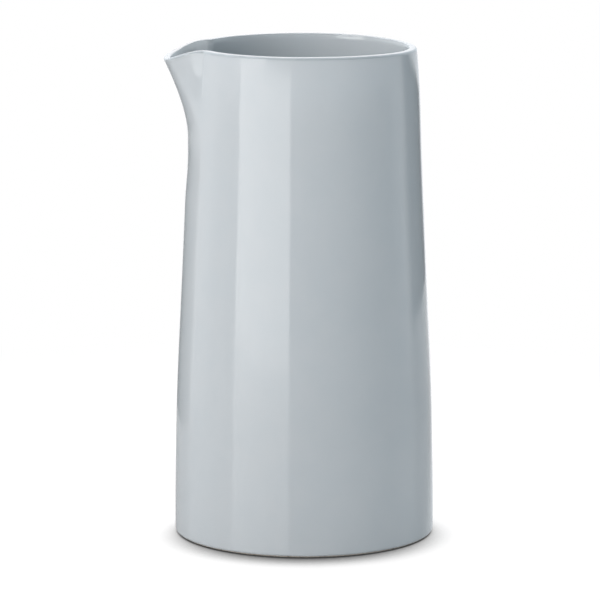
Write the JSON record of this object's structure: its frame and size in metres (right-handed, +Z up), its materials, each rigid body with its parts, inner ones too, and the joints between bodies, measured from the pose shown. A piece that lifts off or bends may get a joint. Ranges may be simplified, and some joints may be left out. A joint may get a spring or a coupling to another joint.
{
  "type": "milk jug",
  "caption": "Tall round milk jug without a handle, double-walled, flaring towards its flat foot, with a thin rim and a small pulled spout.",
  "frame": {"origin": "centre of the base disc's flat underside, on the jug's axis", "axes": "+Z up along the jug's axis, -X towards the spout, Y across; the jug is mirror-symmetric about the XZ plane"},
  "size_m": [0.0795, 0.0768, 0.145],
  "materials": {
    "glaze": "glossy light blue-grey glaze",
    "bare_clay": "fired unglazed stoneware, smooth and dry",
    "silicone": "matt grey silicone"
  },
  "bodies": {
    "root": {"outer_shell": "glaze", "inner_liner": "glaze", "base_disc": "bare_clay", "vent_plug": "silicone"}
  },
  "joints": []
}
